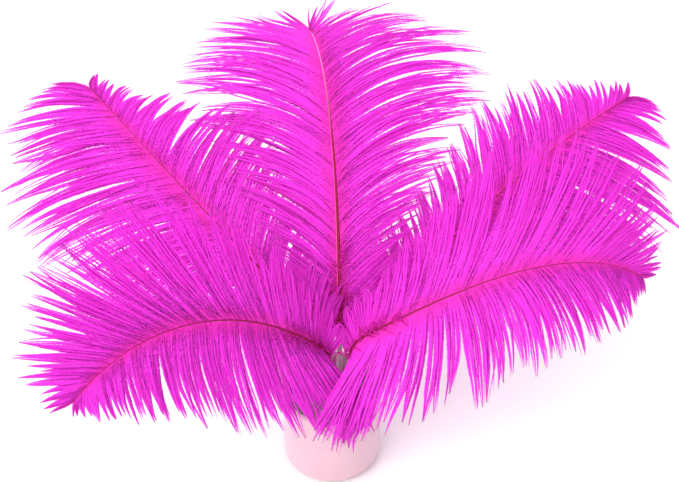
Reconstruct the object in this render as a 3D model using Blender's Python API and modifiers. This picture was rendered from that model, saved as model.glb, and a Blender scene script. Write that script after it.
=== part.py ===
"""Five ostrich plumes fanned out of a small glazed cup.

The origin is the centre of the cup's underside. The fan faces -Y, and +X is to the right of somebody facing it.
Each plume is a tapered shaft with a vane of barbs on either side and a sleeve of short down at its foot. The bare
quills stand in a foam plug, which sits in the cup.
"""

import math

import bmesh
import bpy
import numpy as np
from mathutils import Vector

# Driving dimensions, in metres and degrees.
GAP = 0.0004

CUP_HEIGHT = 0.069
CUP_RADIUS = 0.0375
CUP_WALL = 0.0035
CUP_FLOOR = 0.006
CUP_FOOT_FILLET = 0.009
CUP_FLAT_EDGE = 0.0008
CUP_STEPS = 40

FOAM_HEIGHT = 0.050
FOAM_CLEARANCE = 0.0006
FOAM_CHAMFER = 0.003
QUILL_DEPTH = 0.025
QUILL_CLEARANCE = 0.0004
QUILL_END_SHARE = 0.8
HOLE_OVERSHOOT = 0.004
HOLE_SIDES = 12

TIP_RADIUS = 0.0005
SHAFT_TAPER = 1.5
SHAFT_POINTS = 26
ROUTE_SAMPLES = 241

VANE_THICKNESS = 0.0016
VANE_ROWS = 19
VANE_COLUMNS = 5
LOCK_DEPTH = 0.10

DOWN_SPAN = (0.18, 0.27)
DOWN_THICKNESS = (0.0012, 0.0050)
DOWN_CLEARANCE = 0.0010
DOWN_ROWS = 5
DOWN_SIDES = 12

FOAM_TOP = CUP_FLOOR + GAP + FOAM_HEIGHT
# The direction that the flats of the plumes face: forward and up.
FACING_ELEVATION = 37.5
FACING = Vector((0.0, -math.cos(math.radians(FACING_ELEVATION)), math.sin(math.radians(FACING_ELEVATION))))

# A plume rises from its foot in the foam's top face. Its bare quill is straight for `bare`, then it turns outward
# over `bend`, and its rachis arches on to the tip. lean is the angle from vertical of the quill, of the rachis past
# the bend and of the tip; azimuth is the compass direction it leans in, at the foot and at the tip.
# Each vane is a list of rows (place along the shaft, barb length, leaving angle, end angle, droop, curl): angles are
# measured from square to the shaft towards its tip, droop pulls a barb's end down and curl lifts it to the front.
PLUMES = {
    "back": {
        "foot": (0.006, 0.014),
        "quill": 0.0024,
        "azimuth": (88.0, 102.0),
        "lean": (5.0, 28.0, 101.0),
        "arch": 2.1,
        "length": 0.315,
        "bare": 0.025,
        "bend": 0.050,
        "left": [
            (0.40, 0.034, 50, 20, 0.05, -0.5),
            (0.55, 0.084, 50, 10, 0.10, -0.5),
            (0.75, 0.114, 50, 0, 0.25, -0.25),
            (0.90, 0.096, 50, 8, 0.18, 0.15),
            (1.00, 0.036, 72, 60, 0.0, 0.4),
        ],
        "right": [
            (0.40, 0.034, 50, 20, 0.05, -0.5),
            (0.55, 0.090, 50, 10, 0.10, -0.5),
            (0.75, 0.124, 46, -10, 0.20, -0.2),
            (0.90, 0.088, 46, -10, 0.10, 0.0),
            (1.00, 0.036, 72, 60, 0.0, 0.4),
        ],
    },
    "upper_left": {
        "foot": (-0.0005, 0.008),
        "quill": 0.0020,
        "azimuth": (145.0, 148.0),
        "lean": (6.0, 58.0, 52.0),
        "arch": 1.5,
        "length": 0.299,
        "bare": 0.027,
        "bend": 0.051,
        "left": [
            (0.36, 0.034, 45, 25, 0.2, 0.0),
            (0.60, 0.124, 40, 12, 0.2, 0.0),
            (0.75, 0.121, 40, 16, 0.15, 0.0),
            (0.90, 0.088, 44, 26, 0.1, 0.0),
            (1.00, 0.036, 66, 40, 0.1, 0.0),
        ],
        "right": [
            (0.36, 0.030, 45, 20, 0.1, 0.1),
            (0.60, 0.078, 40, 0, 0.1, 0.1),
            (0.75, 0.058, 40, 0, 0.1, 0.0),
            (0.90, 0.032, 38, 0, 0.1, 0.0),
            (1.00, 0.018, 66, 30, 0.2, 0.0),
        ],
    },
    "upper_right": {
        "foot": (0.0125, 0.008),
        "quill": 0.0020,
        "azimuth": (38.0, 22.0),
        "lean": (6.0, 48.0, 66.0),
        "arch": 1.15,
        "length": 0.312,
        "bare": 0.016,
        "bend": 0.045,
        "left": [
            (0.36, 0.030, 45, 20, 0.1, 0.1),
            (0.60, 0.066, 45, 20, 0.1, 0.1),
            (0.75, 0.058, 42, 12, 0.1, 0.0),
            (0.90, 0.032, 38, 0, 0.1, 0.0),
            (1.00, 0.018, 66, 30, 0.2, 0.0),
        ],
        "right": [
            (0.36, 0.034, 45, 25, 0.2, 0.0),
            (0.60, 0.120, 40, 17, 0.2, 0.0),
            (0.75, 0.112, 40, 16, 0.15, 0.0),
            (0.90, 0.072, 42, 24, 0.12, 0.0),
            (1.00, 0.030, 66, 40, 0.2, 0.0),
        ],
    },
    "lower_left": {
        "foot": (0.002, 0.0),
        "quill": 0.0020,
        "azimuth": (186.0, 227.0),
        "lean": (4.0, 40.0, 121.0),
        "arch": 1.5,
        "length": 0.253,
        "bare": 0.032,
        "bend": 0.031,
        "left": [
            (0.30, 0.060, 5, -5, 0.5, 0.4),
            (0.60, 0.073, 20, -12, 0.4, 0.2),
            (0.80, 0.053, 38, 6, 0.3, 0.1),
            (0.93, 0.032, 40, 15, 0.2, 0.0),
            (1.00, 0.018, 66, 50, 0.2, 0.0),
        ],
        "right": [
            (0.30, 0.050, 46, 34, 0.0, 0.0),
            (0.50, 0.102, 46, 34, 0.05, 0.0),
            (0.65, 0.104, 46, 36, 0.1, 0.0),
            (0.80, 0.080, 46, 38, 0.15, 0.0),
            (0.93, 0.048, 46, 40, 0.25, 0.0),
            (1.00, 0.022, 66, 58, 0.25, 0.0),
        ],
    },
    "lower_right": {
        "foot": (0.010, 0.0),
        "quill": 0.0020,
        "azimuth": (0.0, 8.0),
        "lean": (4.0, 57.0, 130.0),
        "arch": 2.8,
        "length": 0.279,
        "bare": 0.038,
        "bend": 0.036,
        "left": [
            (0.30, 0.050, 50, 30, 0.0, 0.0),
            (0.50, 0.105, 50, 30, 0.1, 0.0),
            (0.65, 0.106, 50, 30, 0.1, 0.0),
            (0.80, 0.082, 50, 34, 0.1, 0.0),
            (0.93, 0.046, 50, 40, 0.15, 0.0),
            (1.00, 0.020, 66, 55, 0.2, 0.0),
        ],
        "right": [
            (0.30, 0.066, 5, -5, 0.5, 0.4),
            (0.60, 0.074, 26, -8, 0.4, 0.2),
            (0.80, 0.059, 41, 15, 0.28, 0.1),
            (0.93, 0.036, 44, 28, 0.15, 0.0),
            (1.00, 0.020, 66, 50, 0.2, 0.0),
        ],
    },
}
SIDES = {"left": -1.0, "right": 1.0}

# Colours: name -> (red, green, blue, roughness).
COLOURS = {
    "pale_pink_glaze": (0.94, 0.66, 0.74, 0.12),
    "grey_foam": (0.42, 0.42, 0.40, 0.95),
    "crimson_shaft": (0.30, 0.005, 0.07, 0.45),
    "hot_pink_vane": (0.90, 0.03, 0.62, 0.70),
    "pink_down": (0.86, 0.03, 0.50, 0.85),
}


def clear_scene():
    for thing in list(bpy.data.objects):
        bpy.data.objects.remove(thing, do_unlink=True)


def make_collection(name):
    collection = bpy.data.collections.new(name)
    bpy.context.scene.collection.children.link(collection)
    return collection


def make_material(name):
    red, green, blue, roughness = COLOURS[name]
    material = bpy.data.materials.new(name)
    material.use_nodes = True
    shader = material.node_tree.nodes["Principled BSDF"]
    shader.inputs["Base Color"].default_value = (red, green, blue, 1.0)
    shader.inputs["Roughness"].default_value = roughness
    shader.inputs["Metallic"].default_value = 0.0
    material.diffuse_color = (red, green, blue, 1.0)
    return material


def add_object(name, data, material, collection, parent=None):
    thing = bpy.data.objects.new(name, data)
    data.materials.append(material)
    collection.objects.link(thing)
    thing.parent = parent
    return thing


def add_pivot(name, place, collection, parent=None):
    pivot = bpy.data.objects.new(name, None)
    pivot.empty_display_size = 0.01
    pivot.location = place
    collection.objects.link(pivot)
    pivot.parent = parent
    return pivot


def turned(name, outline, material, collection, steps):
    """A solid turned about Z from an outline of (radius, height) that runs down its outer side."""
    mesh = bpy.data.meshes.new(name)
    form = bmesh.new()
    points = [form.verts.new((radius, 0.0, height)) for radius, height in outline]
    for first, second in zip(points, points[1:]):
        form.edges.new((first, second))
    form.to_mesh(mesh)
    form.free()
    thing = add_object(name, mesh, material, collection)
    screw = thing.modifiers.new("turn", "SCREW")
    screw.axis = "Z"
    screw.steps = steps
    screw.render_steps = steps
    screw.use_merge_vertices = True
    screw.merge_threshold = 0.00001
    screw.use_smooth_shade = True
    return thing


def arc(centre, radius, start, end, steps):
    """Points of an arc in the (radius, height) plane, from start to end degrees."""
    angles = np.radians(np.linspace(start, end, steps + 1))
    return [(centre[0] + radius * math.cos(a), centre[1] + radius * math.sin(a)) for a in angles]


def make_cup(material, collection):
    lip = CUP_WALL / 2
    inner = CUP_RADIUS - CUP_WALL
    corner = CUP_FOOT_FILLET - CUP_WALL
    foot = CUP_RADIUS - CUP_FOOT_FILLET
    outline = [(0.0, CUP_FLOOR)]
    outline += arc((inner - corner, CUP_FLOOR + corner), corner, -90, 0, 3)
    outline += arc((inner + lip, CUP_HEIGHT - lip), lip, 180, 0, 6)
    outline += arc((foot, CUP_FOOT_FILLET), CUP_FOOT_FILLET, 0, -80, 5)
    outline += [(foot - CUP_FLAT_EDGE, 0.0), (0.0, 0.0)]
    return turned("cup", outline, material, collection, CUP_STEPS)


def foam_outline():
    radius = CUP_RADIUS - CUP_WALL - FOAM_CLEARANCE
    bottom = CUP_FLOOR + GAP
    corner = CUP_FOOT_FILLET - CUP_WALL
    return [
        (0.0, FOAM_TOP),
        (radius - FOAM_CHAMFER, FOAM_TOP),
        (radius, FOAM_TOP - FOAM_CHAMFER),
        (radius, bottom + corner + FOAM_CHAMFER),
        (radius - corner - FOAM_CHAMFER, bottom),
        (0.0, bottom),
    ]


def shaft_directions(plume, along):
    """Unit tangents of a plume's shaft at places `along` it, from 0 at its foot to 1 at its tip."""
    quill, past_bend, tip = plume["lean"]
    travelled = along * plume["length"] - plume["bare"]
    turn = np.clip(travelled / plume["bend"], 0.0, 1.0)
    turn = turn * turn * (3.0 - 2.0 * turn)
    arched = np.clip(travelled / (plume["length"] - plume["bare"]), 0.0, 1.0) ** plume["arch"]
    lean = np.radians(quill + (past_bend - quill) * turn + (tip - past_bend) * arched)
    start, end = plume["azimuth"]
    azimuth = np.radians(start + (end - start) * along)
    return np.stack(
        [np.sin(lean) * np.cos(azimuth), np.sin(lean) * np.sin(azimuth), np.cos(lean)],
        axis=-1,
    )


def shaft_frames(plume, along):
    """Places, tangents and face normals of the shaft at `along`."""
    fine = np.linspace(0.0, 1.0, ROUTE_SAMPLES)
    tangents = shaft_directions(plume, fine)
    step = plume["length"] / (len(fine) - 1)
    places = np.zeros_like(tangents)
    places[0] = (*plume["foot"], FOAM_TOP)
    places[1:] = places[0] + np.cumsum(0.5 * (tangents[1:] + tangents[:-1]) * step, axis=0)
    at = np.stack([np.interp(along, fine, places[:, k]) for k in range(3)], axis=-1)
    tangent = shaft_directions(plume, along)
    facing = np.array(FACING)
    normal = facing - (tangent @ facing)[:, None] * tangent
    normal /= np.linalg.norm(normal, axis=1, keepdims=True)
    return at, tangent, normal


def shaft_radius(plume, along):
    return TIP_RADIUS + (plume["quill"] - TIP_RADIUS) * (1.0 - np.asarray(along)) ** SHAFT_TAPER


def quill_axis(plume):
    return Vector(shaft_directions(plume, np.array([0.0]))[0])


def make_shaft(name, plume, material, collection, parent):
    """The quill in the foam and the rachis above it: one tapered tube."""
    along = np.linspace(0.0, 1.0, SHAFT_POINTS)
    places, tangents, _ = shaft_frames(plume, along)
    bottom = places[0] - tangents[0] * QUILL_DEPTH
    places = np.vstack([bottom, places])
    radii = np.concatenate([[plume["quill"] * QUILL_END_SHARE], shaft_radius(plume, along)])
    curve = bpy.data.curves.new(name, "CURVE")
    curve.dimensions = "3D"
    curve.bevel_depth = 1.0
    curve.bevel_resolution = 2
    curve.use_fill_caps = True
    spline = curve.splines.new("POLY")
    spline.points.add(len(places) - 1)
    for point, place, radius in zip(spline.points, places, radii):
        point.co = (*place, 1.0)
        point.radius = radius
    return add_object(name, curve, material, collection, parent)


def mapped_grid(name, columns, rows, place, material, collection, parent):
    """A sheet whose point (across, along), each from 0 to 1, lies at place(across, along)."""
    mesh = bpy.data.meshes.new(name)
    form = bmesh.new()
    bmesh.ops.create_grid(form, x_segments=columns, y_segments=rows, size=0.5)
    for vert in form.verts:
        vert.co = place(vert.co.x + 0.5, vert.co.y + 0.5)
    bmesh.ops.remove_doubles(form, verts=form.verts, dist=0.00001)
    form.to_mesh(mesh)
    form.free()
    return add_object(name, mesh, material, collection, parent)


def thicken(thing, thickness, offset):
    solid = thing.modifiers.new("thickness", "SOLIDIFY")
    solid.thickness = thickness
    solid.offset = offset
    solid.use_even_offset = False
    return solid


def barb_path(plume, side, row, points):
    """One barb of a vane: a row of the vane's table, integrated from the shaft outward."""
    along, length, leaving, ending, droop, curl = row
    at, tangent, normal = (part[0] for part in shaft_frames(plume, np.array([along])))
    sideways = np.cross(tangent, normal) * SIDES[side]
    outward = np.linspace(0.0, 1.0, points)
    angle = np.radians(leaving + (ending - leaving) * outward**0.8)
    heading = np.cos(angle)[:, None] * sideways + np.sin(angle)[:, None] * tangent
    heading += (droop * outward**1.6)[:, None] * np.array([0.0, 0.0, -1.0])
    heading += (curl * outward**1.5)[:, None] * normal
    heading /= np.linalg.norm(heading, axis=1, keepdims=True)
    start = at + sideways * (shaft_radius(plume, along) + VANE_THICKNESS * 0.5 + GAP)
    step = length / (points - 1)
    middles = 0.5 * (heading[1:] + heading[:-1]) * step
    return np.vstack([start, start + np.cumsum(middles, axis=0)])


def vane_row(plume, side, along):
    table = np.array(plume[side])
    places = table[:, 0]
    return (along, *(np.interp(along, places, table[:, k]) for k in range(1, table.shape[1])))


def make_vane(name, plume, side, material, collection, parent):
    """A sheet of barbs beside the rachis, with every second lock shorter."""
    first = plume[side][0][0]
    paths = []
    for number in range(VANE_ROWS):
        along = first + (1.0 - first) * number / (VANE_ROWS - 1)
        place, length, *shape = vane_row(plume, side, along)
        if number % 2:
            length *= 1.0 - LOCK_DEPTH
        paths.append(barb_path(plume, side, (place, length, *shape), 4 * VANE_COLUMNS + 1))

    def place(across, along):
        path = paths[round(along * (VANE_ROWS - 1))]
        return Vector(path[round(across * (len(path) - 1))])

    vane = mapped_grid(name, VANE_COLUMNS, VANE_ROWS - 1, place, material, collection, parent)
    thicken(vane, VANE_THICKNESS, 0.0)
    return vane


def make_down(name, plume, material, collection, parent):
    """A sleeve of short down round the foot of the rachis, thicker towards the vanes."""
    first, last = DOWN_SPAN

    def place(across, along):
        at, tangent, normal = (part[0] for part in shaft_frames(plume, np.array([first + (last - first) * along])))
        sideways = np.cross(tangent, normal)
        radius = shaft_radius(plume, first) + DOWN_CLEARANCE
        angle = -2.0 * math.pi * across
        return Vector(at + radius * (math.cos(angle) * sideways + math.sin(angle) * normal))

    down = mapped_grid(name, DOWN_SIDES, DOWN_ROWS, place, material, collection, parent)
    solid = thicken(down, DOWN_THICKNESS[1], 1.0)
    group = down.vertex_groups.new(name="thickness")
    for vert in down.data.vertices:
        near_foot = np.linalg.norm(np.array(vert.co) - shaft_frames(plume, np.array([first]))[0][0])
        share = min(1.0, near_foot / ((last - first) * plume["length"]))
        group.add([vert.index], share, "REPLACE")
    solid.vertex_group = group.name
    solid.thickness_vertex_group = DOWN_THICKNESS[0] / DOWN_THICKNESS[1]
    return down


def make_quill_cutter(name, plume, cutters):
    """The hole that a quill makes in the foam."""
    axis = quill_axis(plume)
    length = QUILL_DEPTH + HOLE_OVERSHOOT + GAP * 2
    foot = Vector((*plume["foot"], FOAM_TOP))
    mesh = bpy.data.meshes.new(name + "_hole")
    form = bmesh.new()
    bmesh.ops.create_cone(
        form,
        cap_ends=True,
        segments=HOLE_SIDES,
        radius1=plume["quill"] + QUILL_CLEARANCE,
        radius2=plume["quill"] + QUILL_CLEARANCE,
        depth=length,
    )
    form.to_mesh(mesh)
    form.free()
    cutter = bpy.data.objects.new(name + "_hole", mesh)
    cutter.location = foot + axis * (HOLE_OVERSHOOT - length / 2)
    cutter.rotation_euler = axis.to_track_quat("Z", "Y").to_euler()
    cutter.hide_render = True
    cutter.display_type = "WIRE"
    cutters.objects.link(cutter)
    return cutter


def make_foam(material, collection, cutters):
    foam = turned("foam_plug", foam_outline(), material, collection, CUP_STEPS)
    for name, plume in PLUMES.items():
        hole = foam.modifiers.new(name, "BOOLEAN")
        hole.operation = "DIFFERENCE"
        hole.solver = "EXACT"
        hole.object = make_quill_cutter(name, plume, cutters)
    return foam


def make_plume(name, plume, materials, collection):
    """A shaft, two vanes and a down sleeve under an empty at the quill's foot."""
    pivot = add_pivot(name + "_quill_axis", (*plume["foot"], FOAM_TOP), collection)
    holder = add_pivot(name + "_pieces", -Vector(pivot.location), collection, pivot)
    make_shaft(name + "_shaft", plume, materials["crimson_shaft"], collection, holder)
    make_down(name + "_down", plume, materials["pink_down"], collection, holder)
    for side in SIDES:
        make_vane(f"{name}_{side}_vane", plume, side, materials["hot_pink_vane"], collection, holder)


def main():
    clear_scene()
    collection = make_collection("ostrich_plume_arrangement")
    cutters = make_collection("cutters")
    materials = {name: make_material(name) for name in COLOURS}
    make_cup(materials["pale_pink_glaze"], collection)
    make_foam(materials["grey_foam"], collection, cutters)
    for name, plume in PLUMES.items():
        make_plume(name, plume, materials, collection)


main()
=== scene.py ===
"""Looks for the ostrich plume arrangement: five dyed plumes fanned out of a glazed cup.

Every barb is a thin comb of barbules. A vane is a few hundred barbs that leave the rachis along the rows of a
table, fall under their own weight, and draw together into locks towards their ends.
"""

import math

import bpy
import numpy as np
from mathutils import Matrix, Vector


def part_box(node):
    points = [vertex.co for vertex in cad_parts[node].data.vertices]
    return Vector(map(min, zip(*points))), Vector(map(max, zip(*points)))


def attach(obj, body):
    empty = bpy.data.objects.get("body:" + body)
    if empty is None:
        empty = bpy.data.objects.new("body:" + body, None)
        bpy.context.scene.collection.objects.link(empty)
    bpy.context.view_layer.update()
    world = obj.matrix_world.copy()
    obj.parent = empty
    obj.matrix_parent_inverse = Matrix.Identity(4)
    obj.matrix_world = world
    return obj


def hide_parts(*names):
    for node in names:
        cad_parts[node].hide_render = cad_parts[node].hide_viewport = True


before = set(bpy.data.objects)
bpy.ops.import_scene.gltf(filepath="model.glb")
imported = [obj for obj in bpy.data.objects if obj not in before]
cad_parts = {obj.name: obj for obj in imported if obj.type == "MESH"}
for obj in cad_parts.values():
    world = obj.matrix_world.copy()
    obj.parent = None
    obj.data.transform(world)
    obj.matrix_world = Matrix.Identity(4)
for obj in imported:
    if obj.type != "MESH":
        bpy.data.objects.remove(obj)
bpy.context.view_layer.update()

# ---- dimensions that the frame gives -------------------------------------------------------------
CUP_LOW, CUP_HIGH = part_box("cup")
CUP_RADIUS = (CUP_HIGH[0] - CUP_LOW[0]) / 2
CUP_HEIGHT = CUP_HIGH[2]
FOAM_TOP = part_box("foam_plug")[1][2]

# ---- the plumes: the same routes as the CAD shafts, in metres and degrees ------------------------
FACING_ELEVATION = math.radians(37.5)
FACING = np.array([0.0, -math.cos(FACING_ELEVATION), math.sin(FACING_ELEVATION)])
SIDES = {"left": -1.0, "right": 1.0}

# A plume rises from its foot in the foam, straight for `bare`, turns outward over `bend` and arches to its
# tip. A vane's row is (place along the shaft, barb length, leaving angle, end angle, droop, curl at the end,
# curl from the start). Angles are from square to the shaft towards its tip; curl lifts a barb to the front.
PLUMES = {
    "back": {
        "foot": (0.006, 0.014),
        "quill": 0.0024,
        "taper": 1.6,
        "azimuth": (88.0, 102.0),
        "lean": (5.0, 28.0, 101.0),
        "arch": 2.1,
        "length": 0.315,
        "bare": 0.025,
        "bend": 0.050,
        "left": [
            (0.14, 0.034, 60, 45, 0.05, 0.0, 0.0),
            (0.22, 0.062, 56, 34, 0.05, -0.05, 0.0),
            (0.35, 0.088, 52, 18, 0.05, -0.1, 0.0),
            (0.55, 0.120, 50, 6, 0.12, -0.1, 0.0),
            (0.75, 0.120, 50, 6, 0.15, 0.0, 0.0),
            (0.88, 0.100, 52, 18, 0.06, 0.1, 0.05),
            (0.96, 0.070, 58, 40, 0.0, 0.25, 0.12),
            (1.00, 0.030, 75, 62, 0.0, 0.4, 0.4),
        ],
        "right": [
            (0.14, 0.034, 60, 45, 0.05, 0.0, 0.0),
            (0.22, 0.062, 56, 34, 0.05, -0.05, 0.0),
            (0.35, 0.088, 52, 15, 0.05, -0.1, 0.0),
            (0.55, 0.124, 48, 0, 0.12, -0.1, 0.0),
            (0.75, 0.124, 46, -12, 0.20, 0.0, 0.0),
            (0.88, 0.090, 46, -12, 0.12, 0.0, 0.0),
            (0.96, 0.054, 50, 12, 0.0, 0.1, 0.0),
            (1.00, 0.026, 75, 62, 0.0, 0.4, 0.4),
        ],
    },
    "upper_left": {
        "foot": (-0.0005, 0.008),
        "quill": 0.0020,
        "taper": 3.0,
        "azimuth": (145.0, 148.0),
        "lean": (6.0, 58.0, 52.0),
        "arch": 1.5,
        "length": 0.299,
        "bare": 0.027,
        "bend": 0.051,
        "left": [
            (0.20, 0.030, 45, 30, 0.2, 0.1, 0.0),
            (0.40, 0.090, 42, 18, 0.2, 0.0, 0.0),
            (0.60, 0.122, 40, 12, 0.2, 0.0, 0.0),
            (0.75, 0.121, 40, 16, 0.15, 0.0, 0.0),
            (0.90, 0.088, 44, 26, 0.10, 0.0, 0.0),
            (1.00, 0.028, 68, 40, 0.1, 0.1, 0.0),
        ],
        "right": [
            (0.16, 0.034, 48, 36, 0.1, 0.0, 0.0),
            (0.24, 0.054, 46, 30, 0.1, 0.0, 0.0),
            (0.40, 0.072, 45, 18, 0.1, 0.0, 0.0),
            (0.60, 0.084, 40, 0, 0.1, 0.0, 0.0),
            (0.75, 0.058, 40, -8, 0.1, 0.1, 0.0),
            (0.90, 0.029, 38, -20, 0.1, 0.2, 0.0),
            (1.00, 0.011, 72, 20, 0.2, 0.2, 0.0),
        ],
    },
    "upper_right": {
        "foot": (0.0125, 0.008),
        "quill": 0.0020,
        "taper": 3.0,
        "azimuth": (38.0, 22.0),
        "lean": (6.0, 48.0, 66.0),
        "arch": 1.15,
        "length": 0.312,
        "bare": 0.016,
        "bend": 0.045,
        "left": [
            (0.16, 0.034, 48, 36, 0.1, 0.0, 0.0),
            (0.24, 0.048, 46, 30, 0.1, 0.0, 0.0),
            (0.40, 0.054, 45, 24, 0.1, 0.0, 0.0),
            (0.60, 0.068, 45, 20, 0.1, 0.0, 0.0),
            (0.75, 0.058, 42, 12, 0.1, 0.1, 0.0),
            (0.90, 0.029, 38, -4, 0.1, 0.2, 0.0),
            (1.00, 0.011, 72, 30, 0.2, 0.2, 0.0),
        ],
        "right": [
            (0.20, 0.030, 45, 30, 0.2, 0.1, 0.0),
            (0.40, 0.090, 42, 20, 0.2, 0.0, 0.0),
            (0.60, 0.118, 40, 17, 0.2, 0.0, 0.0),
            (0.75, 0.110, 40, 16, 0.15, 0.0, 0.0),
            (0.90, 0.068, 42, 24, 0.12, 0.0, 0.0),
            (1.00, 0.024, 68, 40, 0.2, 0.1, 0.0),
        ],
    },
    "lower_left": {
        "foot": (0.002, 0.0),
        "quill": 0.0020,
        "taper": 3.0,
        "azimuth": (186.0, 227.0),
        "lean": (4.0, 40.0, 121.0),
        "arch": 1.5,
        "length": 0.253,
        "bare": 0.032,
        "bend": 0.031,
        "left": [
            (0.13, 0.046, -95, -97, 0.3, 0.2, 0.8),
            (0.20, 0.067, -80, -84, 0.4, 0.3, 0.5),
            (0.28, 0.083, -62, -68, 0.5, 0.3, 0.3),
            (0.40, 0.086, -38, -52, 0.5, 0.3, 0.1),
            (0.60, 0.073, 10, -22, 0.4, 0.2, 0.0),
            (0.80, 0.050, 36, 4, 0.3, 0.1, 0.0),
            (0.93, 0.027, 40, 15, 0.2, 0.0, 0.0),
            (1.00, 0.012, 72, 50, 0.2, 0.0, 0.0),
        ],
        "right": [
            (0.17, 0.024, 50, 40, 0.0, 0.1, 0.1),
            (0.35, 0.070, 46, 34, 0.0, 0.0, 0.0),
            (0.50, 0.100, 46, 34, 0.05, 0.0, 0.0),
            (0.65, 0.102, 46, 36, 0.1, 0.0, 0.0),
            (0.80, 0.076, 46, 40, 0.15, 0.0, 0.0),
            (0.93, 0.042, 46, 44, 0.25, 0.0, 0.0),
            (1.00, 0.016, 72, 60, 0.25, 0.0, 0.0),
        ],
    },
    "lower_right": {
        "foot": (0.010, 0.0),
        "quill": 0.0020,
        "taper": 3.0,
        "azimuth": (0.0, 8.0),
        "lean": (4.0, 57.0, 130.0),
        "arch": 2.8,
        "length": 0.279,
        "bare": 0.038,
        "bend": 0.036,
        "left": [
            (0.17, 0.024, 50, 40, 0.0, 0.1, 0.1),
            (0.35, 0.072, 50, 30, 0.0, 0.0, 0.0),
            (0.50, 0.104, 50, 30, 0.1, 0.0, 0.0),
            (0.65, 0.104, 50, 30, 0.1, 0.0, 0.0),
            (0.80, 0.080, 50, 36, 0.1, 0.0, 0.0),
            (0.93, 0.038, 50, 42, 0.15, 0.0, 0.0),
            (1.00, 0.013, 72, 55, 0.2, 0.0, 0.0),
        ],
        "right": [
            (0.13, 0.060, -78, -80, 0.3, 0.2, 0.8),
            (0.19, 0.072, -68, -76, 0.4, 0.3, 0.6),
            (0.27, 0.082, -52, -62, 0.5, 0.3, 0.4),
            (0.40, 0.082, -26, -42, 0.5, 0.3, 0.2),
            (0.60, 0.070, 22, -12, 0.4, 0.2, 0.0),
            (0.80, 0.058, 42, 20, 0.25, 0.1, 0.0),
            (0.93, 0.033, 45, 32, 0.15, 0.0, 0.0),
            (1.00, 0.013, 72, 50, 0.2, 0.0, 0.0),
        ],
    },
}

# Shafts: the groove and the flattened face begin a little way up from the foot.
TIP_RADIUS = 0.0003
QUILL_DEPTH = 0.025
QUILL_NARROWING = 0.35
ROUTE_SAMPLES = 241
QUILL_RINGS = 12
RACHIS_RINGS = 220
SHAFT_SIDES = 20
GROOVE_DEPTH = 0.42
GROOVE_WIDTH = 0.38
GROOVE_START = 0.10
GROOVE_FADE = 0.08
FACE_FLATTENING = 0.18
FACE_FADE = 0.10

# Barbs. A spread is (a barb's own, its lock's); a range is (least, most).
BARBS_A_SIDE = 400
BARB_STEP = 0.0015
BARB_SEAT = 0.8
LAST_BARBS = (0.994, 0.997, 1.0)
LENGTH_SPREAD = (0.05, 0.10)
LOCK_LENGTH = 0.98
LENGTH_RANGE = (0.72, 1.10)
TILT_SPREAD = (1.5, 1.3)
WAVER_SPREAD = (0.05, 0.08)
LIFT_SPREAD = (0.08, 0.16)
PHASE_SPREAD = 0.4
WAVER_TURNS = 5.0
LIFT_TURNS = 4.0
TURN_EASE = 0.8
CURL_EASE = 1.5
DROOP_EASE = 1.6
OWN_TONE = 0.6
TIP_SHARE = 0.04

# Locks: where they start along their barbs, at places along the shaft, and how firmly they are drawn together.
LOCK_BARBS = 6
LOCK_SPREAD = 3
LOCK_PLACES = (0.0, 0.7, 1.0)
LOCK_STARTS = (0.68, 0.60, 0.35)
START_RANGE = (0.75, 1.25)
PULL_RANGE = (0.75, 1.1)
PULL_EASE = 0.9
MOST_PULL = 0.93
LOCK_PULL = 0.92
BUNDLE_LOCKS = 3
BUNDLE_PULL = 0.25
STRAYS = 0.14
STRAY_PULL = 0.35

# Half the width of a barb, length of a barbule, its lean to the barb's end, its scatter and the barb's twist.
BARB_LOOKS = (0.00055, 0.0026, 2.2, 0.08, 0.35)
DOWN_LOOKS = (0.0001, 0.0020, 0.8, 0.35, 2.0)
FINEST = 0.00005
ROOT_WIDTH = 0.5
ROOT_WIDENING = 7.0
BARBULE_RANGE = (0.6, 1.15)

# Down: short barbs round the foot of the rachis.
DOWN_BARBS = 90
DOWN_STEPS = 14
DOWN_SPAN = (0.14, 0.34)
DOWN_LENGTHS = (0.006, 0.018)
DOWN_SEAT = 0.9
DOWN_FLATTENING = 0.7
DOWN_FLARE = 0.3
DOWN_RISE = 0.75
DOWN_BEND = 0.7
DOWN_SAG = 0.5
DOWN_SAG_EASE = 1.5

# The cup, and how far outside its rim a hanging barb drapes.
CUP_WALL = 0.0035
CUP_FLOOR = 0.006
CUP_FILLET = 0.009
CUP_FLAT_EDGE = 0.0008
CUP_FILLET_ENDS = -86
CUP_SIDES = 160
RIM_CLEARANCE = 0.0020
RIM_DRAPE = 0.030

# Colours, as linear red, green, blue and alpha.
BLACK = (0, 0, 0, 1)
WHITE = (1, 1, 1, 1)
DARK_TIP = (0.20, 0.015, 0.16, 1)
# Each triple is (base, middle, tip) of a barb; the darker, more crimson base colour is painted shade near the
# shaft.
BARB_COLOURS = ((0.93, 0.04, 0.62, 1), (0.97, 0.05, 0.85, 1), (0.90, 0.06, 0.78, 1))
DOWN_COLOURS = ((0.75, 0.02, 0.35, 1), (0.92, 0.04, 0.60, 1), (0.90, 0.05, 0.66, 1))
BARB_TONES = [
    (0.0, (0.80, 0.60, 0.66, 1)),
    (0.15, (0.92, 0.88, 0.90, 1)),
    (0.6, (0.98, 0.97, 0.98, 1)),
    (1.0, WHITE),
]
CRIMSON = ((0.26, 0.003, 0.06, 1), (0.32, 0.005, 0.08, 1), (0.34, 0.006, 0.12, 1))
TWO_TONE = ((0.26, 0.002, 0.04, 1), (0.78, 0.12, 0.34, 1), (0.88, 0.22, 0.55, 1))
QUILL_COLOUR = (0.62, 0.42, 0.50, 1)
GLAZE_TINTS = [(0.3, (0.62, 0.37, 0.45, 1)), (0.7, (0.66, 0.41, 0.49, 1))]
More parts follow.
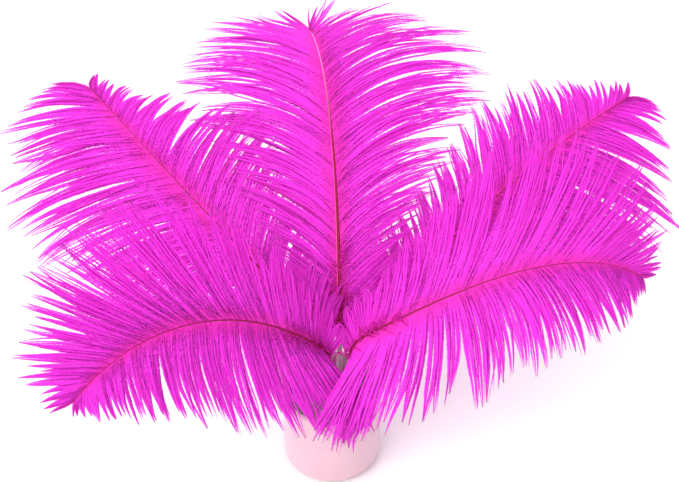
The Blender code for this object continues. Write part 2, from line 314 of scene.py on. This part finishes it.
# Grey foam, darkest at the pits of its cells: painted shade.
FOAM_TINTS_AND_PORE_SHADE = [(0.0, (0.10, 0.10, 0.095, 1)), (0.6, (0.36, 0.36, 0.34, 1))]
FLOOR_COLOUR = (0.93, 0.93, 0.93, 1)
LIGHT_THROUGH = 0.40

# Camera, floor and lights. A light is (name, place, size, watts), and each one is turned to LIT_PLACE.
LENS = 50.0
SENSOR = 36.0
LOOK_AT = (0.006, 0.065, 0.155)
CAMERA_DISTANCE = 0.700
FLOOR_REACH = 6.0
WORLD_LEVELS = (1.65, 0.40)
LIT_PLACE = (0.0, 0.05, 0.12)
LIGHTS = [
    ("key", (-0.9, -1.0, 1.5), 1.4, 22.0),
    ("fill", (1.2, -0.8, 1.0), 1.2, 4.0),
    ("rim", (0.2, 1.4, 1.2), 1.0, 6.0),
]


# ---- small helpers -------------------------------------------------------------------------------
def unit(vectors):
    return vectors / np.maximum(np.linalg.norm(vectors, axis=-1, keepdims=True), 1e-9)


def smooth_step(share):
    """Eases 0 to 1 in and out."""
    return share * share * (3.0 - 2.0 * share)


def fade_in(along, start, over):
    """0 up to `start`, then rising to 1."""
    return np.clip((along - start) / over, 0.0, 1.0)


def walk(start, heading, length):
    """Curves (barb, step, xyz) of the given lengths that leave their starts along unit headings."""
    step = (length / (heading.shape[1] - 1))[:, None, None]
    paths = np.zeros_like(heading)
    paths[:, 0] = start
    paths[:, 1:] = start[:, None] + np.cumsum(0.5 * (heading[:, 1:] + heading[:, :-1]) * step, axis=1)
    return paths


# ---- shafts --------------------------------------------------------------------------------------
def shaft_directions(plume, along):
    """Unit tangents of the shaft: a straight quill, a bend outward, then an arch to the tip."""
    quill, past_bend, tip = plume["lean"]
    travelled = along * plume["length"] - plume["bare"]
    turn = smooth_step(np.clip(travelled / plume["bend"], 0.0, 1.0))
    arched = np.clip(travelled / (plume["length"] - plume["bare"]), 0.0, 1.0) ** plume["arch"]
    lean = np.radians(quill + (past_bend - quill) * turn + (tip - past_bend) * arched)
    start, end = plume["azimuth"]
    azimuth = np.radians(start + (end - start) * along)
    return np.stack([np.sin(lean) * np.cos(azimuth), np.sin(lean) * np.sin(azimuth), np.cos(lean)], axis=-1)


def shaft_frames(plume, along):
    """Places, tangents and face normals of the shaft at `along`; below 0 is the quill in the foam."""
    fine = np.linspace(0.0, 1.0, ROUTE_SAMPLES)
    start = np.array([(*plume["foot"], FOAM_TOP)])
    route = walk(start, shaft_directions(plume, fine)[None], np.array([plume["length"]]))[0]
    inside = np.clip(along, 0.0, 1.0)
    at = np.stack([np.interp(inside, fine, route[:, k]) for k in range(3)], axis=-1)
    tangent = shaft_directions(plume, inside)
    at = at + tangent * (np.minimum(along, 0.0) * plume["length"])[:, None]
    normal = unit(FACING - (tangent @ FACING)[:, None] * tangent)
    return at, tangent, normal


def shaft_radius(plume, along):
    return TIP_RADIUS + (plume["quill"] - TIP_RADIUS) * (1.0 - np.clip(along, 0.0, 1.0)) ** plume["taper"]


# ---- meshes --------------------------------------------------------------------------------------
def mesh_object(name, points, faces, material, smooth=False, uvs=None):
    """An object from points and faces, which are an array or a list; uvs has one pair for each point."""
    if isinstance(faces, np.ndarray):
        counts = np.full(len(faces), faces.shape[1], dtype=np.int32)
        corners = faces.astype(np.int32).ravel()
    else:
        counts = np.array([len(face) for face in faces], dtype=np.int32)
        corners = np.concatenate([np.asarray(face, dtype=np.int32) for face in faces])
    mesh = bpy.data.meshes.new(name)
    mesh.vertices.add(len(points))
    mesh.vertices.foreach_set("co", np.asarray(points, dtype=np.float32).ravel())
    mesh.loops.add(len(corners))
    mesh.loops.foreach_set("vertex_index", corners)
    mesh.polygons.add(len(counts))
    mesh.polygons.foreach_set("loop_start", np.concatenate([[0], np.cumsum(counts)[:-1]]).astype(np.int32))
    mesh.polygons.foreach_set("loop_total", counts)
    mesh.update(calc_edges=True)
    if uvs is not None:
        layer = mesh.uv_layers.new(name="strand")
        layer.data.foreach_set("uv", np.asarray(uvs, dtype=np.float32)[corners].ravel())
    if smooth:
        mesh.shade_smooth()
    mesh.materials.append(material)
    thing = bpy.data.objects.new(name, mesh)
    bpy.context.scene.collection.objects.link(thing)
    return thing


def shared_draw(rng, locks, spread):
    """A normal draw for each barb plus one that its whole lock shares."""
    own, lock = spread
    return rng.normal(0.0, own, len(locks)) + rng.normal(0.0, lock, locks[-1] + 1)[locks]


def shared_phase(rng, locks):
    """A lock's phase, a little different for each of its barbs."""
    return rng.normal(0.0, PHASE_SPREAD, len(locks)) + rng.uniform(0, 2 * math.pi, locks[-1] + 1)[locks]


def barb_paths(plume, side, along, scale, tilt, steps, wave):
    """Centre lines of many barbs: (barb, step, xyz). scale and tilt vary a barb's length and angle."""
    table = np.array(plume[side])
    length, leaving, ending, droop, curl, front = (
        np.interp(along, table[:, 0], table[:, k]) for k in range(1, table.shape[1])
    )
    at, tangent, normal = shaft_frames(plume, along)
    sideways = np.cross(tangent, normal) * SIDES[side]
    outward = np.linspace(0.0, 1.0, steps)[None]
    angle = np.radians(leaving + tilt)[:, None] + np.radians(ending - leaving)[:, None] * outward**TURN_EASE
    angle = angle + wave["angle"][:, None] * np.sin(wave["phase"][:, None] + WAVER_TURNS * outward) * outward
    lift = front[:, None] + curl[:, None] * outward**CURL_EASE
    lift = lift + wave["lift"][:, None] * np.sin(wave["turn"][:, None] + LIFT_TURNS * outward) * outward
    heading = np.cos(angle)[..., None] * sideways[:, None] + np.sin(angle)[..., None] * tangent[:, None]
    heading = heading + lift[..., None] * normal[:, None]
    heading[..., 2] -= droop[:, None] * outward**DROOP_EASE
    start = at + sideways * (shaft_radius(plume, along) * BARB_SEAT)[:, None]
    paths = walk(start, unit(heading), length * scale)
    return clear_of_cup(paths), np.repeat(normal[:, None], steps, axis=1)


def clear_of_cup(paths):
    """Barbs that hang past the rim drape outside it."""
    drop = np.clip((CUP_HEIGHT + RIM_DRAPE - paths[..., 2]) / RIM_DRAPE, 0.0, 1.0)
    least = (CUP_RADIUS + RIM_CLEARANCE) * smooth_step(drop)
    radius = np.hypot(paths[..., 0], paths[..., 1])
    push = np.maximum(least / np.maximum(radius, 1e-6), 1.0)
    paths[..., 0] *= push
    paths[..., 1] *= push
    return paths


def lock_numbers(count, size, rng):
    """The lock each barb belongs to, in runs of about `size` barbs."""
    runs = rng.integers(max(1, size - LOCK_SPREAD), size + LOCK_SPREAD + 1, count)
    return np.repeat(np.arange(count), runs)[:count]


def draw_into_locks(paths, locks, rng, strength, starts):
    """Pulls the barbs of a lock together past its share of their length, into a tapering point."""
    outward = np.linspace(0.0, 1.0, paths.shape[1])
    for lock in np.unique(locks):
        group = locks == lock
        begin = starts[group].mean() * rng.uniform(*START_RANGE)
        pull = strength * rng.uniform(*PULL_RANGE) * fade_in(outward, begin, 1.0 - begin) ** PULL_EASE
        pull = np.clip(pull, 0.0, MOST_PULL)
        centre = paths[group].mean(axis=0, keepdims=True)
        held = np.where(rng.uniform(0.0, 1.0, group.sum()) < STRAYS, STRAY_PULL, 1.0)
        paths[group] += (centre - paths[group]) * pull[None, :, None] * held[:, None, None]
    return paths


def comb_mesh(paths, normals, rng, looks, tone):
    """Tapering ribbons with a barbule at each edge of each step of the paths: points, faces and uvs."""
    width, barbule, lean, scatter, twisted = looks
    count, steps, _ = paths.shape
    tangent = unit(np.gradient(paths, axis=1))
    across = unit(np.cross(tangent, normals))
    up = np.cross(across, tangent)
    outward = np.linspace(0.0, 1.0, steps)[None]
    twist = twisted * (rng.uniform(-0.5, 0.5, (count, 1)) + rng.uniform(-1.0, 1.0, (count, 1)) * outward)
    across = across * np.cos(twist)[..., None] + up * np.sin(twist)[..., None]
    taper = np.clip(outward * ROOT_WIDENING + ROOT_WIDTH, 0.0, 1.0) * np.clip(1.0 - outward**2.0, 0.0, 1.0)
    half = (width * taper + FINEST)[..., None]
    left = paths - across * half
    right = paths + across * half
    points = [left.reshape(-1, 3), right.reshape(-1, 3)]
    base = np.arange(count * steps).reshape(count, steps)
    other = base + count * steps
    strip = np.stack([base[:, :-1], other[:, :-1], other[:, 1:], base[:, 1:]], axis=-1).reshape(-1, 4)
    faces = [strip[:, [0, 1, 2]], strip[:, [0, 2, 3]]]
    uv = np.stack(np.broadcast_arrays(tone[:, None], outward), axis=-1)
    uvs = [uv.reshape(-1, 2)] * 2
    offset = 2 * count * steps
    for edge, sign, ids in ((left, -1.0, base), (right, 1.0, other)):
        size = barbule * taper * rng.uniform(*BARBULE_RANGE, (count, steps))
        reach = unit(sign * across[:, :-1] + lean * tangent[:, :-1])
        reach = unit(reach + rng.normal(0.0, scatter, reach.shape))
        tips = 0.5 * (edge[:, :-1] + edge[:, 1:]) + reach * size[:, :-1, None]
        tip_ids = offset + np.arange(count * (steps - 1)).reshape(count, steps - 1)
        offset += count * (steps - 1)
        points.append(tips.reshape(-1, 3))
        uvs.append(uv[:, :-1].reshape(-1, 2))
        faces.append(np.stack([ids[:, :-1], tip_ids, ids[:, 1:]], axis=-1).reshape(-1, 3))
    return np.concatenate(points), np.concatenate(faces), np.concatenate(uvs)


def make_vane(name, plume_name, side, material, seed):
    plume = PLUMES[plume_name]
    table = np.array(plume[side])
    rng = np.random.default_rng(seed)
    first = table[0, 0]
    count = BARBS_A_SIDE
    along = first + (1.0 - first) * (np.arange(count) + rng.uniform(0.0, 1.0, count)) / count
    along[-len(LAST_BARBS):] = LAST_BARBS
    locks = lock_numbers(count, LOCK_BARBS, rng)
    lock_count = locks[-1] + 1
    own_length, lock_length = LENGTH_SPREAD
    scale = rng.normal(1.0, own_length, count) * rng.normal(LOCK_LENGTH, lock_length, lock_count)[locks]
    tilt = shared_draw(rng, locks, TILT_SPREAD)
    wave = {
        "angle": shared_draw(rng, locks, WAVER_SPREAD),
        "phase": shared_phase(rng, locks),
        "lift": shared_draw(rng, locks, LIFT_SPREAD),
        "turn": shared_phase(rng, locks),
    }
    steps = int(table[:, 1].max() / BARB_STEP)
    paths, normals = barb_paths(plume, side, along, scale.clip(*LENGTH_RANGE), tilt, steps, wave)
    starts = np.interp(along, LOCK_PLACES, LOCK_STARTS)
    paths = draw_into_locks(paths, locks // BUNDLE_LOCKS, rng, BUNDLE_PULL, starts)
    paths = draw_into_locks(paths, locks, rng, LOCK_PULL, starts)
    own, lock = rng.uniform(0.0, 1.0, count), rng.uniform(0.0, 1.0, lock_count)
    tone = (OWN_TONE * own + (1.0 - OWN_TONE) * lock[locks]).clip(0.0, 1.0)
    tone = tone * np.clip((1.0 - along) / TIP_SHARE, 0.0, 1.0)
    points, faces, uvs = comb_mesh(paths, normals, rng, BARB_LOOKS, tone)
    return mesh_object(name, points, faces, material, uvs=uvs)


def make_shaft(name, plume, material):
    """A tapered rachis with a groove down the face, and the bare quill below it."""
    deep = -QUILL_DEPTH / plume["length"]
    along = np.concatenate([np.linspace(deep, 0.0, QUILL_RINGS)[:-1], np.linspace(0.0, 1.0, RACHIS_RINGS)])
    at, tangent, normal = shaft_frames(plume, along)
    sideways = np.cross(tangent, normal)
    turn = np.linspace(0.0, 2.0 * math.pi, SHAFT_SIDES, endpoint=False)
    radius = shaft_radius(plume, along) * (1.0 - QUILL_NARROWING * np.clip(along / deep, 0.0, 1.0) ** 2)
    groove = GROOVE_DEPTH * np.exp(-((turn - math.pi / 2) / GROOVE_WIDTH) ** 2)[None]
    groove = groove * fade_in(along, GROOVE_START, GROOVE_FADE)[:, None]
    flattening = FACE_FLATTENING * np.abs(np.sin(turn))[None]
    flat = 1.0 - flattening * fade_in(along, GROOVE_START, FACE_FADE)[:, None]
    ring = radius[:, None] * (flat - groove)
    spokes = np.cos(turn)[None, :, None] * sideways[:, None] + np.sin(turn)[None, :, None] * normal[:, None]
    points = at[:, None] + ring[..., None] * spokes
    shape = ring.shape
    ids = np.arange(ring.size).reshape(shape)
    after = np.roll(ids, -1, axis=1)
    quads = np.stack([ids[:-1], after[:-1], after[1:], ids[1:]], axis=-1).reshape(-1, 4)
    faces = [list(face) for face in quads] + [list(ids[0][::-1]), list(ids[-1])]
    u = np.broadcast_to(turn / (2 * math.pi), shape)
    v = np.broadcast_to(np.clip(along, 0, 1)[:, None], shape)
    uvs = np.stack([u, v], axis=-1).reshape(-1, 2)
    return mesh_object(name, points.reshape(-1, 3), faces, material, smooth=True, uvs=uvs)


# ---- down ----------------------------------------------------------------------------------------
def make_down(name, plume, material, seed):
    """Short curling down round the foot of the rachis."""
    rng = np.random.default_rng(seed)
    count = DOWN_BARBS
    along = np.sort(rng.uniform(*DOWN_SPAN, count))
    at, tangent, normal = shaft_frames(plume, along)
    sideways = np.cross(tangent, normal)
    turn = rng.uniform(0, 2 * math.pi, count)
    out = np.cos(turn)[:, None] * sideways + np.sin(turn)[:, None] * normal * DOWN_FLATTENING
    length = rng.uniform(*DOWN_LENGTHS, count)
    outward = np.linspace(0.0, 1.0, DOWN_STEPS)
    flare = (1.0 - DOWN_FLARE) + DOWN_FLARE * outward[None, :, None]
    heading = out[:, None] * flare + tangent[:, None] * DOWN_RISE
    heading = heading + rng.normal(0.0, DOWN_BEND, (count, 1, 3)) * outward[None, :, None]
    heading[..., 2] -= DOWN_SAG * outward[None] ** DOWN_SAG_EASE
    start = at + out * shaft_radius(plume, along)[:, None] * DOWN_SEAT
    paths = walk(start, unit(heading), length)
    normals = np.repeat(normal[:, None], DOWN_STEPS, axis=1)
    points, faces, uvs = comb_mesh(paths, normals, rng, DOWN_LOOKS, rng.uniform(0.0, 1.0, count))
    return mesh_object(name, points, faces, material, uvs=uvs)


# ---- cup -----------------------------------------------------------------------------------------
def arc(centre, radius, start, end, steps):
    angles = np.radians(np.linspace(start, end, steps + 1))
    return [(centre[0] + radius * math.cos(a), centre[1] + radius * math.sin(a)) for a in angles]


def turned(name, outline, material):
    """A solid turned about Z from an outline of (radius, height) that starts and ends on the axis."""
    outline = np.array(outline)
    turn = np.linspace(0.0, 2.0 * math.pi, CUP_SIDES, endpoint=False)
    radius, height = outline[1:-1, 0, None], outline[1:-1, 1, None]
    rings = np.broadcast_arrays(radius * np.cos(turn), radius * np.sin(turn), height)
    points = np.stack(rings, axis=-1).reshape(-1, 3)
    ids = np.arange(len(points)).reshape(-1, CUP_SIDES)
    after = np.roll(ids, -1, axis=1)
    quads = np.stack([ids[:-1], ids[1:], after[1:], after[:-1]], axis=-1).reshape(-1, 4)
    first, last = len(points), len(points) + 1
    points = np.vstack([points, (0.0, 0.0, outline[0, 1]), (0.0, 0.0, outline[-1, 1])])
    faces = [list(face[::-1]) for face in quads]
    faces += [[first, a, b] for a, b in zip(ids[0], after[0])]
    faces += [[last, b, a] for a, b in zip(ids[-1], after[-1])]
    return mesh_object(name, points, faces, material, smooth=True)


def make_cup(material):
    lip = CUP_WALL / 2
    inner = CUP_RADIUS - CUP_WALL
    corner = CUP_FILLET - CUP_WALL
    outline = [(0.0, CUP_FLOOR)]
    outline += arc((inner - corner, CUP_FLOOR + corner), corner, -90, 0, 10)
    outline += arc((inner + lip, CUP_HEIGHT - lip), lip, 180, 0, 16)
    outline += arc((CUP_RADIUS - CUP_FILLET, CUP_FILLET), CUP_FILLET, 0, CUP_FILLET_ENDS, 18)
    outline += [(CUP_RADIUS - CUP_FILLET - CUP_FLAT_EDGE, 0.0), (0.0, 0.0)]
    return turned("glazed_cup", outline, material)


# ---- materials -----------------------------------------------------------------------------------
def new_material(name):
    material = bpy.data.materials.new(name)
    material.use_nodes = True
    tree = material.node_tree
    return material, tree, tree.nodes["Principled BSDF"]


def ramp(tree, stops, level):
    """A colour ramp over `level`; returns its colour."""
    node = tree.nodes.new("ShaderNodeValToRGB")
    node.color_ramp.elements[0].position, node.color_ramp.elements[0].color = stops[0]
    node.color_ramp.elements[1].position, node.color_ramp.elements[1].color = stops[-1]
    for place, colour in stops[1:-1]:
        node.color_ramp.elements.new(place).color = colour
    tree.links.new(level, node.inputs["Fac"])
    return node.outputs["Color"]


def strand_place(tree):
    """The two strand coordinates: a barb's tone or the place round a shaft, and the place along either."""
    place = tree.nodes.new("ShaderNodeUVMap")
    place.uv_map = "strand"
    split = tree.nodes.new("ShaderNodeSeparateXYZ")
    tree.links.new(place.outputs["UV"], split.inputs["Vector"])
    return split.outputs["X"], split.outputs["Y"]


def texture(tree, kind, scale):
    """A noise or cell texture in the object's own space."""
    where = tree.nodes.new("ShaderNodeTexCoord")
    node = tree.nodes.new(kind)
    node.inputs["Scale"].default_value = scale
    tree.links.new(where.outputs["Object"], node.inputs["Vector"])
    return node


def add_bump(tree, shader, height, strength, distance):
    bump = tree.nodes.new("ShaderNodeBump")
    bump.inputs["Strength"].default_value = strength
    bump.inputs["Distance"].default_value = distance
    tree.links.new(height, bump.inputs["Height"])
    tree.links.new(bump.outputs["Normal"], shader.inputs["Normal"])


def barb_material(name, root_dye_and_painted_shade, middle, tip):
    """Dyed barbs: colour runs from a darker, more crimson base, which is painted shade near the shaft, to the
    tip; each barb has its own tone, and light comes through.
    """
    material, tree, shader = new_material(name)
    across, along = strand_place(tree)
    # The first stop, at the barb's base, is painted shade: darker and more crimson than the dye.
    dye = ramp(tree, [(0.0, root_dye_and_painted_shade), (0.16, middle), (0.85, middle), (0.96, tip), (1.0, DARK_TIP)], along)
    both = tree.nodes.new("ShaderNodeMix")
    both.data_type = "RGBA"
    both.blend_type = "MULTIPLY"
    both.inputs["Factor"].default_value = 1.0
    tree.links.new(dye, both.inputs["A"])
    tree.links.new(ramp(tree, BARB_TONES, across), both.inputs["B"])
    tree.links.new(both.outputs["Result"], shader.inputs["Base Color"])
    shader.inputs["Roughness"].default_value = 0.6
    shader.inputs["Specular IOR Level"].default_value = 0.25
    glow = tree.nodes.new("ShaderNodeBsdfTranslucent")
    tree.links.new(both.outputs["Result"], glow.inputs["Color"])
    blend = tree.nodes.new("ShaderNodeMixShader")
    blend.inputs["Fac"].default_value = LIGHT_THROUGH
    tree.links.new(shader.outputs["BSDF"], blend.inputs[1])
    tree.links.new(glow.outputs["BSDF"], blend.inputs[2])
    tree.links.new(blend.outputs["Shader"], tree.nodes["Material Output"].inputs["Surface"])
    return material


def shaft_material(name, front, edge, end):
    """Keratin with a lighter edge on one side, another colour at the tip and a bare quill at the foot."""
    material, tree, shader = new_material(name)
    around, along = strand_place(tree)
    body = ramp(tree, [(0.0, front), (0.37, front), (0.43, edge), (0.58, edge), (1.0, front)], around)
    bare = tree.nodes.new("ShaderNodeMix")
    bare.data_type = "RGBA"
    bare.inputs["B"].default_value = QUILL_COLOUR
    at_foot = ramp(tree, [(0.0, WHITE), (0.10, WHITE), (0.17, BLACK), (1.0, BLACK)], along)
    tree.links.new(at_foot, bare.inputs["Factor"])
    tree.links.new(body, bare.inputs["A"])
    far = tree.nodes.new("ShaderNodeMix")
    far.data_type = "RGBA"
    far.inputs["B"].default_value = end
    at_tip = ramp(tree, [(0.0, BLACK), (0.62, BLACK), (0.88, WHITE), (1.0, WHITE)], along)
    tree.links.new(at_tip, far.inputs["Factor"])
    tree.links.new(bare.outputs["Result"], far.inputs["A"])
    tree.links.new(far.outputs["Result"], shader.inputs["Base Color"])
    shader.inputs["Roughness"].default_value = 0.5
    shader.inputs["Specular IOR Level"].default_value = 0.2
    return material


def glaze_material():
    """Pale pink glaze with a faint mottle and a slight orange-peel surface."""
    material, tree, shader = new_material("pale pink glaze")
    cloud = texture(tree, "ShaderNodeTexNoise", 28.0)
    cloud.inputs["Detail"].default_value = 4.0
    tree.links.new(ramp(tree, GLAZE_TINTS, cloud.outputs["Fac"]), shader.inputs["Base Color"])
    peel = texture(tree, "ShaderNodeTexNoise", 220.0)
    add_bump(tree, shader, peel.outputs["Fac"], 0.04, 0.001)
    shader.inputs["Roughness"].default_value = 0.16
    shader.inputs["Coat Weight"].default_value = 0.5
    shader.inputs["Coat Roughness"].default_value = 0.06
    return material


def foam_material():
    """Dry grey foam: open-celled and crumbly, with painted shade darkening each cell towards its pit."""
    material, tree, shader = new_material("foam")
    cells = texture(tree, "ShaderNodeTexVoronoi", 900.0)
    # The dark end of the ramp falls where the cell bump dips: painted shade in the pores.
    tree.links.new(ramp(tree, FOAM_TINTS_AND_PORE_SHADE, cells.outputs["Distance"]), shader.inputs["Base Color"])
    add_bump(tree, shader, cells.outputs["Distance"], 0.8, 0.0008)
    shader.inputs["Roughness"].default_value = 0.95
    return material


# ---- camera, floor and light ---------------------------------------------------------------------
def make_camera():
    data = bpy.data.cameras.new("camera")
    data.lens = LENS
    data.sensor_width = SENSOR
    camera = bpy.data.objects.new("camera", data)
    camera.location = np.array(LOOK_AT) + FACING * CAMERA_DISTANCE
    camera.rotation_euler = (math.radians(90.0) - FACING_ELEVATION, 0.0, 0.0)
    bpy.context.scene.collection.objects.link(camera)
    bpy.context.scene.camera = camera


def make_floor():
    size = FLOOR_REACH
    points = [(-size, -size, 0), (size, -size, 0), (size, size, 0), (-size, size, 0)]
    material, _, shader = new_material("pale floor")
    shader.inputs["Base Color"].default_value = FLOOR_COLOUR
    shader.inputs["Roughness"].default_value = 0.9
    mesh_object("floor", points, [[0, 1, 2, 3]], material)


def make_light(name, place, size, power):
    data = bpy.data.lights.new(name, "AREA")
    data.shape = "DISK"
    data.size = size
    data.energy = power
    light = bpy.data.objects.new(name, data)
    light.location = place
    light.rotation_euler = (Vector(LIT_PLACE) - Vector(place)).to_track_quat("-Z", "Y").to_euler()
    bpy.context.scene.collection.objects.link(light)


def make_world():
    """A white surround that is brighter on the left."""
    world = bpy.data.worlds.new("studio")
    world.use_nodes = True
    tree = world.node_tree
    tree.nodes["Background"].inputs["Color"].default_value = WHITE
    where = tree.nodes.new("ShaderNodeTexCoord")
    split = tree.nodes.new("ShaderNodeSeparateXYZ")
    tree.links.new(where.outputs["Generated"], split.inputs["Vector"])
    level = tree.nodes.new("ShaderNodeMapRange")
    level.inputs["From Min"].default_value = -1.0
    level.inputs["From Max"].default_value = 1.0
    level.inputs["To Min"].default_value = WORLD_LEVELS[0]
    level.inputs["To Max"].default_value = WORLD_LEVELS[1]
    tree.links.new(split.outputs["X"], level.inputs["Value"])
    tree.links.new(level.outputs["Result"], tree.nodes["Background"].inputs["Strength"])
    bpy.context.scene.world = world


# ---- the whole -----------------------------------------------------------------------------------
def build():
    make_camera()
    make_floor()
    make_world()
    for name, place, size, power in LIGHTS:
        make_light(name, place, size, power)
    pink = barb_material("dyed barbs with painted root shade", *BARB_COLOURS)
    soft = barb_material("dyed down with painted root shade", *DOWN_COLOURS)
    crimson = shaft_material("crimson shaft", *CRIMSON)
    pale = shaft_material("two-tone shaft", *TWO_TONE)
    cup = make_cup(glaze_material())
    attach(cup, "cup")
    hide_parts("cup")
    bpy.data.objects["foam_plug"].material_slots[0].material = foam_material()
    for number, (name, plume) in enumerate(PLUMES.items()):
        body = name + "_plume"
        for turn, side in enumerate(SIDES):
            vane = make_vane(f"{name}_{side}_barbs", name, side, pink, 100 * number + turn)
            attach(vane, body)
            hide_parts(f"{name}_{side}_vane")
        shaft = make_shaft(f"{name}_rachis", plume, pale if name == "back" else crimson)
        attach(shaft, body)
        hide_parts(f"{name}_shaft")
        down = make_down(f"{name}_fluff", plume, soft, 100 * number + 50)
        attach(down, body)
        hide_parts(f"{name}_down")


bpy.context.scene.view_settings.view_transform = "Standard"
build()
